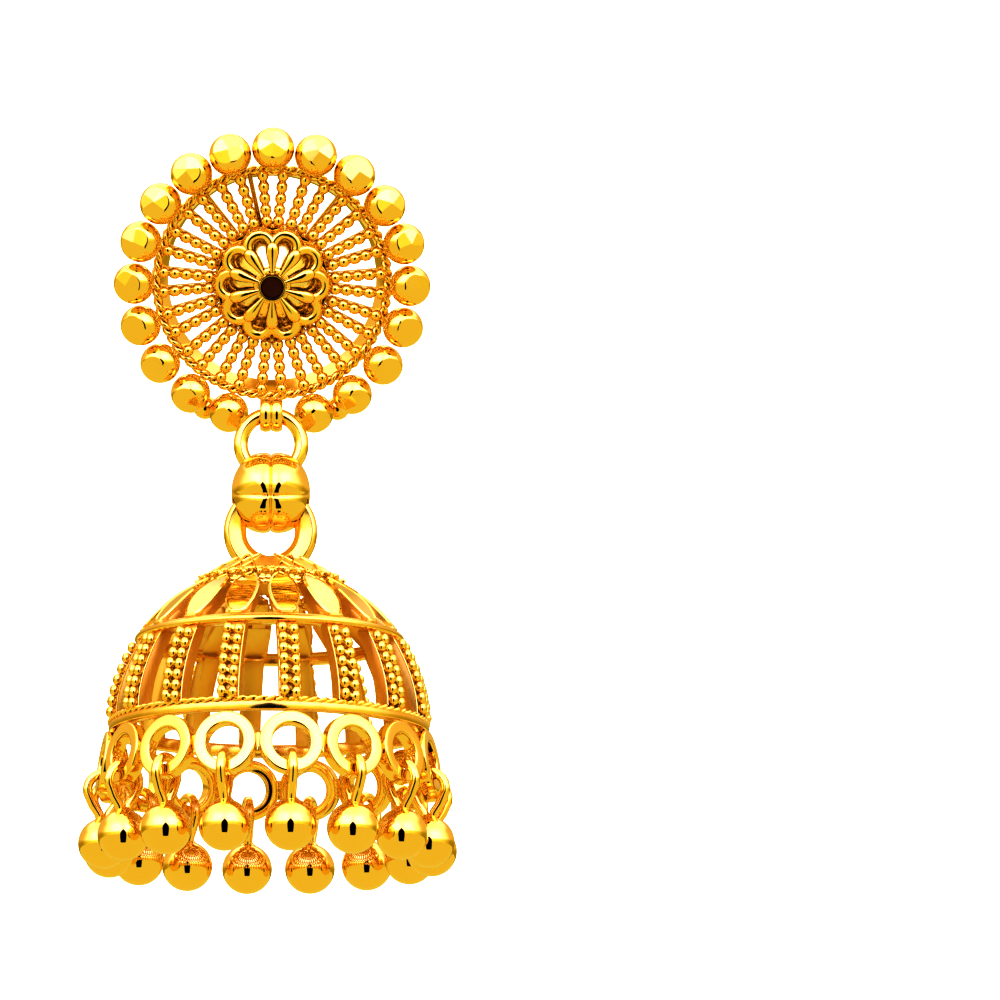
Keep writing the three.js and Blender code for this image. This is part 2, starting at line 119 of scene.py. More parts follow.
def wire(bm, points, radii, sides=8, side=(0, 0, 1), closed=False, flat=1.0):
    # a round section carried along a path, its x kept square to the path and near to side
    count = len(points)
    places = []
    for index, point in enumerate(points):
        ahead = points[(index + 1) % count] if closed else points[min(index + 1, count - 1)]
        behind = points[index - 1] if closed else points[max(index - 1, 0)]
        z = (ahead - behind).normalized()
        x = Vector(side)
        x = (x - z * x.dot(z)).normalized()
        turn = Matrix((x, z.cross(x), z)).transposed().to_4x4()
        radius = radii[index] if isinstance(radii, (list, tuple)) else radii
        places.append(Matrix.Translation(point) @ turn @ Matrix.Diagonal((radius * flat, radius, radius, 1)))
    first = bmesh.ops.create_circle(bm, cap_ends=False, segments=sides, radius=1, matrix=places[0])["verts"]
    loop = list({edge for vert in first for edge in vert.link_edges})
    start = loop
    for before, after in zip(places, places[1:]):
        result = bmesh.ops.extrude_edge_only(bm, edges=loop)
        verts = newVerts(result)
        bmesh.ops.transform(bm, matrix=after @ before.inverted(), verts=verts)
        verts = set(verts)
        loop = [edge for edge in newEdges(result) if edge.verts[0] in verts and edge.verts[1] in verts]
    if closed:
        bmesh.ops.bridge_loops(bm, edges=start + loop)
    else:
        bmesh.ops.contextual_create(bm, geom=start)
        bmesh.ops.contextual_create(bm, geom=loop)


def roundCopies(bm, count, axis=(0, 0, 1)):
    bmesh.ops.spin(bm, geom=everything(bm), cent=(0, 0, 0), axis=axis, angle=2 * math.pi * (count - 1) / count,
                   steps=count - 1, use_duplicate=True)


def twistedRope(bm, ringRadius, height, strand, twists, stepsPerTwist=8, sides=5):
    steps = twists * stepsPerTwist
    for start in (0, math.pi):
        points = []
        for step in range(steps):
            around = 2 * math.pi * step / steps
            turn = start + around * twists
            reach = ringRadius + strand * 0.95 * math.cos(turn)
            up = height + strand * 0.95 * math.sin(turn)
            points.append(Vector((reach * math.cos(around), reach * math.sin(around), up)))
        wire(bm, points, strand, sides=sides, closed=True)


def merged(bm, other):
    mesh = bpy.data.meshes.new("joining")
    other.to_mesh(mesh)
    other.free()
    bm.from_mesh(mesh)
    bpy.data.meshes.remove(mesh)


def meshObject(bm, name, material):
    mesh = bpy.data.meshes.new(name)
    bm.to_mesh(mesh)
    bm.free()
    mesh.materials.append(material)
    made = bpy.data.objects.new(name, mesh)
    bpy.context.scene.collection.objects.link(made)
    return made


def finished(bm, name, place, body, nodes, material, sharp=35):
    bmesh.ops.remove_doubles(bm, verts=bm.verts, dist=1e-4)
    bmesh.ops.recalc_face_normals(bm, faces=bm.faces)
    bmesh.ops.transform(bm, matrix=place, verts=bm.verts)
    piece = meshObject(bm, name, material)
    piece.data.polygons.foreach_set("use_smooth", [True] * len(piece.data.polygons))
    if sharp is not None:
        piece.data.set_sharp_from_angle(angle=math.radians(sharp))
    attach(piece, body)
    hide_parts(*nodes)
    return piece


# Materials


def mathNode(nodes, operation):
    node = nodes.new("ShaderNodeMath")
    node.operation = operation
    return node


def colorMix(nodes):
    node = nodes.new("ShaderNodeMix")
    node.data_type = "RGBA"
    return node


def shaderMaterial(name):
    material = bpy.data.materials.new(name)
    material.use_nodes = True
    tree = material.node_tree
    return material, tree.nodes, tree.links.new, tree.nodes["Principled BSDF"]


def addRelief(nodes, link, shader, height, strength, distance):
    relief = nodes.new("ShaderNodeBump")
    relief.inputs["Strength"].default_value = strength
    relief.inputs["Distance"].default_value = distance
    link(height, relief.inputs["Height"])
    link(relief.outputs["Normal"], shader.inputs["Normal"])


def goldSurfaceGroup():
    # tone drifts, fine polish marks and soft pits for every gold piece
    group = bpy.data.node_groups.new("goldSurface", "ShaderNodeTree")
    face = group.interface
    for name, kind, value in (
        ("Bright", "NodeSocketColor", (1, 0.75, 0.25, 1)),
        ("Deep", "NodeSocketColor", (0.9, 0.5, 0.08, 1)),
        ("Polish", "NodeSocketFloat", 0.08),
        ("Haze", "NodeSocketFloat", 0.05),
        ("Drift Size", "NodeSocketFloat", 400.0),
        ("Mark Size", "NodeSocketFloat", 2500.0),
        ("Pit Depth", "NodeSocketFloat", 0.2),
    ):
        socket = face.new_socket(name=name, in_out="INPUT", socket_type=kind)
        socket.default_value = value
    face.new_socket(name="Color", in_out="OUTPUT", socket_type="NodeSocketColor")
    face.new_socket(name="Roughness", in_out="OUTPUT", socket_type="NodeSocketFloat")
    face.new_socket(name="Height", in_out="OUTPUT", socket_type="NodeSocketFloat")
    nodes = group.nodes
    link = group.links.new
    inside = nodes.new("NodeGroupInput")
    outside = nodes.new("NodeGroupOutput")
    coords = nodes.new("ShaderNodeTexCoord")
    drift = nodes.new("ShaderNodeTexNoise")
    drift.inputs["Detail"].default_value = 3
    link(coords.outputs["Object"], drift.inputs["Vector"])
    link(inside.outputs["Drift Size"], drift.inputs["Scale"])
    tone = colorMix(nodes)
    link(drift.outputs["Fac"], tone.inputs["Factor"])
    link(inside.outputs["Bright"], tone.inputs["A"])
    link(inside.outputs["Deep"], tone.inputs["B"])
    link(tone.outputs["Result"], outside.inputs["Color"])
    marks = nodes.new("ShaderNodeTexNoise")
    marks.inputs["Detail"].default_value = 4
    marks.inputs["Roughness"].default_value = 0.6
    link(coords.outputs["Object"], marks.inputs["Vector"])
    link(inside.outputs["Mark Size"], marks.inputs["Scale"])
    haze = mathNode(nodes, "MULTIPLY_ADD")
    link(marks.outputs["Fac"], haze.inputs[0])
    link(inside.outputs["Haze"], haze.inputs[1])
    link(inside.outputs["Polish"], haze.inputs[2])
    link(haze.outputs["Value"], outside.inputs["Roughness"])
    pits = nodes.new("ShaderNodeTexVoronoi")
    pits.feature = "SMOOTH_F1"
    link(coords.outputs["Object"], pits.inputs["Vector"])
    link(inside.outputs["Mark Size"], pits.inputs["Scale"])
    height = mathNode(nodes, "MULTIPLY")
    link(pits.outputs["Distance"], height.inputs[0])
    link(inside.outputs["Pit Depth"], height.inputs[1])
    link(height.outputs["Value"], outside.inputs["Height"])
    return group


goldSurface = goldSurfaceGroup()


def goldMaterial(name, bright, deep, polish, haze, driftSize=350.0, markSize=2200.0, pitDepth=0.1, bump=0.05):
    material, nodes, link, shader = shaderMaterial(name)
    shader.inputs["Metallic"].default_value = 1
    surface = nodes.new("ShaderNodeGroup")
    surface.node_tree = goldSurface
    surface.inputs["Bright"].default_value = (*bright, 1)
    surface.inputs["Deep"].default_value = (*deep, 1)
    surface.inputs["Polish"].default_value = polish
    surface.inputs["Haze"].default_value = haze
    surface.inputs["Drift Size"].default_value = driftSize
    surface.inputs["Mark Size"].default_value = markSize
    surface.inputs["Pit Depth"].default_value = pitDepth
    link(surface.outputs["Color"], shader.inputs["Base Color"])
    link(surface.outputs["Roughness"], shader.inputs["Roughness"])
    addRelief(nodes, link, shader, surface.outputs["Height"], bump, 0.00003)
    return material


goldTones = {
    "cream": (1.0, 0.85, 0.44),
    "pale": (1.0, 0.78, 0.27),
    "rich": (1.0, 0.73, 0.19),
    "deep": (0.96, 0.62, 0.12),
}
polishedGold = goldMaterial("polishedGold", goldTones["pale"], goldTones["rich"], 0.03, 0.05)
wireGold = goldMaterial("wireGold", goldTones["pale"], goldTones["rich"], 0.05, 0.07, pitDepth=0.5, bump=0.15)
granuleGold = goldMaterial("granuleGold", goldTones["pale"], goldTones["rich"], 0.06, 0.06, driftSize=900.0)
castGold = goldMaterial("castGold", goldTones["pale"], goldTones["deep"], 0.07, 0.12, markSize=1300.0,
                        pitDepth=1.0, bump=0.3)
# the hub plate's satin gold takes the paler cream tone: painted light that lifts the plate out of the shade under
# the rosette's arches
satinGoldPaintedLight = goldMaterial("satinGoldPaintedLight", goldTones["cream"], goldTones["pale"], 0.13, 0.08)
wallGold = goldMaterial("wallGold", goldTones["pale"], goldTones["deep"], 0.34, 0.12)
softGold = goldMaterial("softGold", goldTones["pale"], goldTones["rich"], 0.08, 0.06)


def enamelMaterial(look):
    material, nodes, link, shader = shaderMaterial("darkEnamel")
    shader.inputs["Specular IOR Level"].default_value = look["specular"]
    coords = nodes.new("ShaderNodeTexCoord")
    cloud = nodes.new("ShaderNodeTexNoise")
    cloud.inputs["Scale"].default_value = look["cloudSize"]
    cloud.inputs["Detail"].default_value = 3
    link(coords.outputs["Object"], cloud.inputs["Vector"])
    tone = colorMix(nodes)
    tone.inputs["A"].default_value = (*look["dark"], 1)
    tone.inputs["B"].default_value = (*look["light"], 1)
    link(cloud.outputs["Fac"], tone.inputs["Factor"])
    link(tone.outputs["Result"], shader.inputs["Base Color"])
    gloss = nodes.new("ShaderNodeMapRange")
    gloss.inputs["To Min"].default_value = look["roughness"][0]
    gloss.inputs["To Max"].default_value = look["roughness"][1]
    link(cloud.outputs["Fac"], gloss.inputs["Value"])
    link(gloss.outputs["Result"], shader.inputs["Roughness"])
    addRelief(nodes, link, shader, cloud.outputs["Fac"], look["bump"], look["bumpDepth"])
    return material


darkEnamel = enamelMaterial({
    "dark": (0.085, 0.02, 0.005),
    "light": (0.13, 0.032, 0.008),
    "roughness": (0.4, 0.55),
    "specular": 0.15,
    "cloudSize": 1500.0,
    "bump": 0.1,
    "bumpDepth": 0.00002,
})
print("materials made")

# Stud: rim, rope edge, hub and the paired granule rows
disc = {
    "ropeRadius": 7.23,
    "ropeStrand": 0.17,
    "ropeTwists": 36,
    "rimDepth": 1.4,
    "rimRear": 6.5,
    "rimWall": 0.4,
    "hubRadius": 3.6,
    "hubWall": 0.5,
    "hubTop": 0.1,
    "plateTop": 0.92,
    "plateFlat": 1.0,
    "plateRadius": 3.45,
    "plateRim": -0.27,
    "plateFoot": -0.6,
    "plateHollow": 0.2,
    "backRadius": 3.4,
    "backLevels": (-1.4, -1.15),
    "pairs": 16,
    "splay": 5.3,
    "rowStart": 3.95,
    "rowEnd": 6.85,
    "granules": 5,
    "granule": 0.38,
    "stretch": 1.15,
    "rowLift": 0.14,
    "coreWire": 0.12,
    "finWidth": 0.44,
    "finHeight": 1.0,
    "finLevel": -0.57,
    "ribAngles": (-38, -12.5, 38),
    "ribWidth": 0.3,
    "hubGranules": 44,
    "hubGranule": 0.19,
}


def studDisc(d):
    bm = bmesh.new()
    outer = d["ropeRadius"]
    turned(bm, rounded([
        (d["rimRear"], -d["rimDepth"]),
        (d["rimRear"] + d["rimWall"], -d["rimDepth"]),
        (outer + d["rimWall"] / 2, 0),
        (outer - d["rimWall"] / 2, 0),
    ], 0.12), 96)
    hub = d["hubRadius"]
    turned(bm, rounded([
        (hub - d["hubWall"], -d["rimDepth"]),
        (hub, -d["rimDepth"]),
        (hub, d["hubTop"]),
        (hub - d["hubWall"], d["hubTop"]),
    ], 0.1), 64)
    reach = d["rowEnd"] - hub + d["hubWall"]
    middle = hub - d["hubWall"] / 2 + reach / 2
    for angle in d["ribAngles"]:
        place = turnAbout("Z", -angle) @ Matrix.Translation((0, middle, 0.2 - d["rimDepth"]))
        block(bm, (d["ribWidth"], reach, 0.4), place, d["ribWidth"] * 0.46, 3)
    return bm


def studRows(d):
    step = 360 / d["pairs"]
    rows = bmesh.new()
    for side in (-1, 1):
        way = turnAbout("Z", side * d["splay"])
        for index in range(d["granules"]):
            radius = d["rowStart"] + (d["rowEnd"] - d["rowStart"]) * index / (d["granules"] - 1)
            ball(rows, d["granule"], way @ Matrix.Translation((0, radius, d["rowLift"]))
                 @ Matrix.Diagonal((1, d["stretch"], 1, 1)), 10, 7)
        core = [way @ Vector((0, radius, d["rowLift"])) for radius in (d["rowStart"], d["rowEnd"])]
        wire(rows, core, d["coreWire"], sides=6)
        reach = d["rowEnd"] - d["hubRadius"] + 0.2
        place = way @ Matrix.Translation((0, d["hubRadius"] + reach / 2 - 0.2, d["finLevel"]))
        block(rows, (d["finWidth"], reach, d["finHeight"]), place, d["finWidth"] * 0.46, 3)
    roundCopies(rows, d["pairs"])
    ring = bmesh.new()
    place = Matrix.Translation((0, d["hubRadius"] + 0.02, d["hubTop"] + 0.02))
    ball(ring, d["hubGranule"], place)
    roundCopies(ring, d["hubGranules"])
    merged(rows, ring)
    print("granule rows:", d["pairs"] * 2, "rows,", round(step, 1), "degrees a pair")
    return rows


finished(studDisc(disc), "studDisc", studPlace, "stud", ["stud_frame"], wireGold)
finished(studRows(disc), "studRows", studPlace, "stud", ["stud_frame"], granuleGold, sharp=50)
ropeEdge = bmesh.new()
twistedRope(ropeEdge, disc["ropeRadius"], 0.06, disc["ropeStrand"], disc["ropeTwists"])
finished(ropeEdge, "studRopeEdge", studPlace, "stud", ["stud_frame"], granuleGold, sharp=80)

hubPlate = bmesh.new()
turned(hubPlate, [
    (0, disc["plateTop"]),
    (disc["plateFlat"], disc["plateTop"]),
    (disc["plateRadius"], disc["plateRim"]),
    (disc["plateRadius"], disc["plateFoot"]),
    (0, disc["plateHollow"]),
], 96, closed=False)
# the cream base colour of this plate is painted light against the shade of the arches
finished(hubPlate, "hubPlate", studPlace, "stud", ["stud_frame"], satinGoldPaintedLight, sharp=20)
backPlate = bmesh.new()
rear, front = disc["backLevels"]
turned(backPlate, [(0, rear), (disc["backRadius"], rear), (disc["backRadius"], front), (0, front)], 64, closed=False)
finished(backPlate, "hubBackPlate", studPlace, "stud", ["stud_frame"], castGold)
print("stud disc made")

# Rosette of rounded arches with spindle ribs between them
flower = {
    "lobes": 10,
    "circle": 2.56,
    "archRadius": 0.76,
    "archWire": 0.34,
    "archSweep": 88,
    "wallDrop": 0.34,
    "wallWire": 0.62,
    "wallFlat": 2.2,
    "rimLift": 0.62,
    "topLift": 1.32,
    "bore": 0.86,
    "reach": 3.6,
    "ribStart": 0.88,
    "ribEnd": 2.86,
    "ribHalf": 0.43,
    "ribRise": 0.08,
    "ribRows": (
        {"along": 0.0, "half": 0.3},
        {"along": 0.12, "half": 0.4},
        {"along": 0.28, "half": 0.56},
        {"along": 0.45, "half": 0.78},
        {"along": 0.62, "half": 0.96},
        {"along": 0.75, "half": 1.0},
        {"along": 0.87, "half": 0.84},
        {"along": 0.96, "half": 0.5},
        {"along": 1.0, "half": 0.12},
    ),
}


def domeHeight(f, radius):
    share = min(max((radius - f["bore"]) / (f["reach"] - f["bore"]), 0), 1)
    return f["topLift"] - (f["topLift"] - f["rimLift"]) * share ** 1.2


def rosetteFlower(f):
    bm = bmesh.new()
    half = 180 / f["lobes"]
    middle = turnAbout("Z", half)
    points = []
    steps = 16
    for step in range(steps + 1):
        turn = math.radians(f["archSweep"] * (2 * step / steps - 1))
        x = f["archRadius"] * math.sin(turn)
        y = f["circle"] + f["archRadius"] * math.cos(turn)
        points.append(middle @ Vector((x, y, domeHeight(f, math.hypot(x, y)))))
    wire(bm, points, f["archWire"], sides=12)
    wall = [point - Vector((0, 0, f["wallDrop"])) for point in points]
    wire(bm, wall, f["archWire"] * f["wallWire"], sides=8, flat=f["wallFlat"])
    ribPoints = []
    ribRadii = []
    for row in f["ribRows"]:
        radius = f["ribStart"] + (f["ribEnd"] - f["ribStart"]) * row["along"]
        ribPoints.append(Vector((0, radius, domeHeight(f, radius) + f["ribRise"])))
        ribRadii.append(f["ribHalf"] * row["half"])
    wire(bm, ribPoints, ribRadii, sides=12, side=(0, 0, 1), flat=0.85)
    roundCopies(bm, f["lobes"])
    turned(bm, rounded([
        (f["bore"], domeHeight(f, f["bore"]) - 0.5),
        (f["bore"] + 0.35, domeHeight(f, f["bore"] + 0.35) - 0.5),
        (f["bore"] + 0.3, domeHeight(f, f["bore"]) - 0.12),
        (f["bore"], domeHeight(f, f["bore"])),
    ], 0.06), 48)
    return bm


finished(rosetteFlower(flower), "rosetteFlower", studPlace, "stud", ["rosette"], softGold, sharp=50)

setting = {
    "radius": 0.88,
    "wall": 0.17,
    "top": 1.8,
    "foot": 0.9,
    "seat": 1.3,
    "discRadius": 0.66,
    "discTop": 1.6,
    "nubs": 20,
    "nub": 0.085,
}


def colletCup(s):
    bm = bmesh.new()
    inner = s["radius"] - s["wall"]
    cup = [(0, s["foot"]), (s["radius"], s["foot"]), (s["radius"], s["top"] - 0.06)]
    cup += [(s["radius"] - 0.03, s["top"] - 0.015), (s["radius"] - s["wall"] / 2, s["top"])]
    cup += [(inner + 0.03, s["top"] - 0.015), (inner, s["top"] - 0.06), (inner, s["seat"]), (0, s["seat"])]
    turned(bm, cup, 48, closed=False)
    nubs = bmesh.new()
    ball(nubs, s["nub"], Matrix.Translation((0, s["radius"] + 0.05, flower["topLift"] + 0.06)))
    roundCopies(nubs, s["nubs"])
    merged(bm, nubs)
    return bm


def colletDisc(s):
    bm = bmesh.new()
    edge = s["discRadius"]
    turned(bm, [
        (0, s["discTop"] + 0.03),
        (edge * 0.6, s["discTop"] + 0.015),
        (edge - 0.03, s["discTop"] - 0.03),
        (edge, s["discTop"] - 0.07),
        (edge, s["seat"] + 0.05),
        (0, s["seat"] + 0.05),
    ], 40, closed=False)
    return bm


finished(colletCup(setting), "colletCup", studPlace, "stud", ["collet"], polishedGold)
finished(colletDisc(setting), "centreDisc", studPlace, "stud", ["centre_disc"], darkEnamel)
print("rosette made")

# Rim beads: smooth balls cut by flat facets that meet near the front
rimBead = {
    "radius": 1.28,
    "taper": 0.035,
    "circle": 8.632,
    "lift": 0.75,
    "lean": 29,
    "places": 20,
    "facetReach": 0.84,
    "facetSlope": 15,
    "facetArea": 0.2,
    "segments": (40, 22),
    "softEdge": 0.08,
    "crisp": 0.05,
    "turnDrift": 2,
    "rearRadius": 0.75,
    "rearTurn": 65,
    "gap": 0.05,
}


def facetedBall(b, place):
    bm = bmesh.new()
    size = b["radius"] * (1 - b["taper"] * math.cos(2 * math.pi * place / b["places"]))
    around, rows = b["segments"]
    bmesh.ops.create_uvsphere(bm, u_segments=around, v_segments=rows, radius=size)
    count = 4 + (place * 2) % 3
    start = 270 + 180 / count + b["turnDrift"] * math.sin(place * 2.4)
    for facet in range(count):
        turn = math.radians(start + 360 * facet / count + 9 * math.sin(place * 2.1 + facet * 1.7))
        slope = math.radians(b["facetSlope"] + 2.2 * math.sin(place * 1.3 + facet * 2.3))
        way = Vector((math.sin(slope) * math.cos(turn), math.sin(slope) * math.sin(turn), math.cos(slope)))
        bmesh.ops.bisect_plane(bm, geom=everything(bm), dist=1e-5, plane_co=way * size * b["facetReach"],
                               plane_no=way, clear_outer=True)
        bmesh.ops.holes_fill(bm, edges=[edge for edge in bm.edges if edge.is_boundary], sides=0)
    facets = [face for face in bm.faces if face.calc_area() > b["facetArea"]]
    rim = bmesh.ops.inset_region(bm, faces=facets, thickness=b["softEdge"], use_even_offset=True)["faces"]
    flat = set(facets) | set(rim)
    for edge in bm.edges:
        if len(edge.link_faces) == 2 and set(edge.link_faces) <= flat and edge.calc_face_angle(0) > b["crisp"]:
            edge.smooth = False
    return bm


def beadPlace(circle, lift, angle, lean=0):
    turn = math.radians(angle)
    spot = Matrix.Translation((circle * math.sin(turn), circle * math.cos(turn), lift))
    return spot @ turnAbout("Z", -angle) @ turnAbout("X", -lean)


pitch = 360 / rimBead["places"]
for place in range(1, rimBead["places"]):
    angle = 180 + place * pitch
    bead = facetedBall(rimBead, place)
    bmesh.ops.transform(bead, matrix=beadPlace(rimBead["circle"], rimBead["lift"], angle, rimBead["lean"]),
                        verts=bead.verts)
    finished(bead, f"rimBead{place:02d}", studPlace, "stud", [f"rim_bead_{place:02d}"], polishedGold, sharp=None)

across = rimBead["circle"] * math.sin(math.radians(pitch / 2))
arm = math.sqrt((rimBead["radius"] + rimBead["rearRadius"] + rimBead["gap"]) ** 2 - across ** 2)
rearTurn = math.radians(rimBead["rearTurn"])
rearCircle = rimBead["circle"] * math.cos(math.radians(pitch / 2)) + arm * math.cos(rearTurn)
rearLift = rimBead["lift"] - arm * math.sin(rearTurn)
for name, angle in (("left", 180 + 1.5 * pitch), ("right", 180 - 1.5 * pitch)):
    bead = bmesh.new()
    ball(bead, rimBead["rearRadius"], beadPlace(rearCircle, rearLift, angle), 32, 18)
    finished(bead, f"rearBead{name.title()}", studPlace, "stud", [f"rear_bead_{name}"], polishedGold)
print("rim beads made")

# Post, bail and jump ring
post = {
    "padRadius": 1.5,
    "pad": 0.5,
    "radius": 0.45,
    "length": 11.0,
    "notch": 9.4,
}


def earPost(p):
    bm = bmesh.new()
    rear = -padDepth
    tip = rear - p["length"]
    r = p["radius"]
    groove = rear - p["notch"]
    turned(bm, [
        (0, tip), (r - 0.2, tip), (r - 0.08, tip + 0.08), (r, tip + 0.3),
        (r, groove - 0.2), (r - 0.06, groove), (r, groove + 0.2),
        (r, rear - 0.15), (r + 0.06, rear - 0.04), (r + 0.15, rear),
        (p["padRadius"] - 0.08, rear), (p["padRadius"], rear + 0.08),
        (p["padRadius"], rear + p["pad"] - 0.08), (p["padRadius"] - 0.08, rear + p["pad"]), (0, rear + p["pad"]),
    ], 32, closed=False)
    return bm


finished(earPost(post), "earPost", studPlace, "stud", ["ear_post"], wireGold)

bail = {
    "reach": 8.0,
    "forward": 2.2,
    "hole": 0.72,
    "lobe": 0.19,
    "lobeHalf": 0.36,
    "lobeSpread": 0.34,
    "neckWidth": 1.0,
    "neckWire": 0.2,
    "footDrop": 0.31,
    "footHalf": (0.36, 0.22, 0.2),
    "nub": 0.2,
}


def bailLobes(b):
    bm = bmesh.new()
    spot = Matrix.Translation((0, -b["reach"], b["forward"]))
    sweep = bmesh.new()
    for side in (-1, 1):
        middle = side * b["lobeSpread"]
        section = []
        for step in range(12):
            turn = 2 * math.pi * step / 12
            section.append((b["hole"] + b["lobe"] * (1 + math.cos(turn)), middle + b["lobeHalf"] * math.sin(turn)))
        turned(sweep, section, 40, place=spot @ turnAbout("Y", 90))
    turned(sweep, rounded([(b["hole"], -0.3), (b["hole"] + 0.1, -0.3), (b["hole"] + 0.1, 0.3), (b["hole"], 0.3)],
                          0.04), 40, place=spot @ turnAbout("Y", 90))
    merged(bm, sweep)
    foot = -(disc["ropeRadius"] + b["footDrop"])
    root = Vector((0, foot, -0.3))
    top = Vector((0, -b["reach"] + b["hole"] * 0.6, b["forward"] - b["hole"] * 0.95))
    for side in (-1, 1):
        way = Vector((side * b["neckWidth"] * 0.3, 0, 0))
        wire(bm, [root + way, (root + top) / 2 + way * 1.1 + Vector((0, -0.12, 0)), top + way], b["neckWire"],
             sides=10, side=(1, 0, 0))
    under = spot @ turnAbout("X", 64) @ Matrix.Translation((0, -b["hole"] - 0.08, 0))
    ball(bm, 1, under @ Matrix.Diagonal((*b["footHalf"], 1)), 16, 10)
    for x, y, z in ((-0.34, 0.02, 0.3), (0, 0.06, 0.42), (0.34, 0.02, 0.3), (0, -0.12, 0.0)):
        ball(bm, b["nub"], Matrix.Translation((x, foot + y - 0.05, z)), 12, 8)
    return bm


finished(bailLobes(bail), "dropBail", studPlace, "stud", ["drop_bail"], polishedGold, sharp=50)

ring = {"radius": 1.9, "wire": 0.45}


def torusAcross(bm, radius, section, steps, sides):
    # a ring in the xz plane
    bmesh.ops.create_circle(bm, segments=sides, radius=section,
                            matrix=Matrix.Translation((radius, 0, 0)))
    bmesh.ops.spin(bm, geom=everything(bm), cent=(0, 0, 0), axis=(0, 1, 0), angle=2 * math.pi, steps=steps,
                   use_merge=True)


jumpRing = bmesh.new()
torusAcross(jumpRing, ring["radius"], ring["wire"], 64, 20)
finished(jumpRing, "jumpRing", bellPlace, "jump_ring", ["jump_ring"], wireGold, sharp=60)
print("bail and jump ring made")

# Lobed bead and the flat loop under it
bead = {
    "width": 5.0,
    "height": 5.45,
    "drop": 3.1,
    "bulge": 0.27,
    "bulgeHalf": 1.7,
    "groove": 0.11,
    "grooveHalf": 0.17,
    "tilt": 15,
    "ringWay": 0.57,
    "loopWay": 0.65,
}
loop = {
    "drop": 5.58,
    "radius": 2.92,
    "band": 1.4,
    "depth": 1.2,
    "seat": 7.45,
}


def dip(distance, half):
    # depth share of a rounded groove at a distance from its line
    share = min(abs(distance) / half, 1)
    return (1 - share) ** 2 * (1 + 0.5 * share)


def lobedBead(b):
    bm = bmesh.new()
    tilt = math.radians(b["tilt"])
    bmesh.ops.create_uvsphere(bm, u_segments=128, v_segments=96, radius=1)
    bmesh.ops.rotate(bm, verts=bm.verts, cent=(0, 0, 0), matrix=Matrix.Rotation(math.pi / 2, 3, "X"))
    for vert in bm.verts:
        way = vert.co.copy()
        spot = Vector((way.x * b["width"] / 2, way.y * b["width"] / 2, way.z * b["height"] / 2))
        across = b["bulge"] * dip(spot.x, b["bulgeHalf"]) + b["groove"] * dip(spot.x, b["grooveHalf"])
        up = spot.z * math.cos(tilt) - spot.y * math.sin(tilt)
        level = b["bulge"] * dip(up, b["bulgeHalf"]) + b["groove"] * dip(up, b["grooveHalf"])
        level *= 1 - 0.85 * min(abs(spot.x) / (b["width"] / 2), 1) ** 2
        spot -= way * (across + level - min(across, level) * 0.6)
        ringGap = math.hypot(math.hypot(spot.x, spot.z - b["drop"]) - ring["radius"], spot.y)
        loopReach = math.hypot(spot.x, spot.z + loop["drop"] - b["drop"])
        if ringGap < b["ringWay"]:
            spot -= way * (b["ringWay"] - ringGap) * 1.3
        if loopReach > loop["radius"] - loop["band"] and loopReach < loop["radius"] + 0.05 and spot.z < 0:
            if abs(spot.y) < b["loopWay"]:
                spot.z += 0.5
        vert.co = spot + Vector((0, 0, -b["drop"]))
    return bm


def bellLoop(l):
    bm = bmesh.new()
    inner = l["radius"] - l["band"]
    half = l["depth"] / 2
    face = [(inner, -half * 0.3), (inner + l["band"] * 0.28, -half * 0.78), (l["radius"] - 0.2, -half),
            (l["radius"], -half * 0.6)]
    profile = rounded(face + [(r, -z) for r, z in reversed(face)], 0.14)
    turned(bm, profile, 96, place=Matrix.Translation((0, 0, -l["drop"])) @ turnAbout("X", 90))
    cut = bmesh.ops.bisect_plane(bm, geom=everything(bm), dist=1e-5, plane_co=(0, 0, -l["seat"]),
                                 plane_no=(0, 0, -1), clear_outer=True)
    edges = [item for item in cut["geom_cut"] if isinstance(item, bmesh.types.BMEdge)]
    bmesh.ops.edgenet_fill(bm, edges=edges)
    return bm


finished(lobedBead(bead), "lobedBead", bellPlace, "drop", ["lobed_bead"], polishedGold, sharp=60)
finished(bellLoop(loop), "bellLoop", bellPlace, "drop", ["bell_loop"], castGold, sharp=40)
print("lobed bead and loop made")

# Crown of the bell
crown = {
    "fold": 16,
    "phase": 7.5,
    "top": -7.5,
    "height": 4.6,
    "radius": 7.95,
    "capFlat": 2.2,
    "capRadius": 4.2,
    "capDrop": 1.3,
    "capWall": 0.5,
    "leafWidth": 1.78,
    "leafStart": 0.22,
    "leafShare": 0.985,
    "bow": 0.24,
    "lift": 0.1,
    "rim": 0.1,
    "recess": 0.05,
    "crease": 0.012,
    "depth": 0.1,
    "leafSpread": 0.09,
    "wallDepth": 0.8,
    "wallInset": 0.06,
    "footDrop": 0.2,
    "stepWire": 0.13,
    "capRope": 0.12,
    "tierWire": 0.1,
    "tierMiddle": 3.35,
    "tierReach": 1.05,
    "leafRows": (
        {"along": 0.0, "half": 0.06},
        {"along": 0.05, "half": 0.3},
        {"along": 0.14, "half": 0.56},
        {"along": 0.28, "half": 0.8},
        {"along": 0.44, "half": 0.96},
        {"along": 0.6, "half": 1.0},
        {"along": 0.74, "half": 0.94},
        {"along": 0.86, "half": 0.78},
        {"along": 0.95, "half": 0.6},
        {"along": 1.0, "half": 0.3},
    ),
}


def slopePlace(c, angle):
    # x down the crown's slope from the cap's edge, y across, z out of the surface
    rise = c["height"] - c["capDrop"] - 0.15
    run = c["radius"] - c["capRadius"]
    tilt = Matrix.Translation((c["capRadius"], 0, c["top"] - c["capDrop"])) @ Matrix.Rotation(
        math.atan2(rise, run), 4, "Y")
    return turnAbout("Z", angle) @ tilt, math.hypot(rise, run)


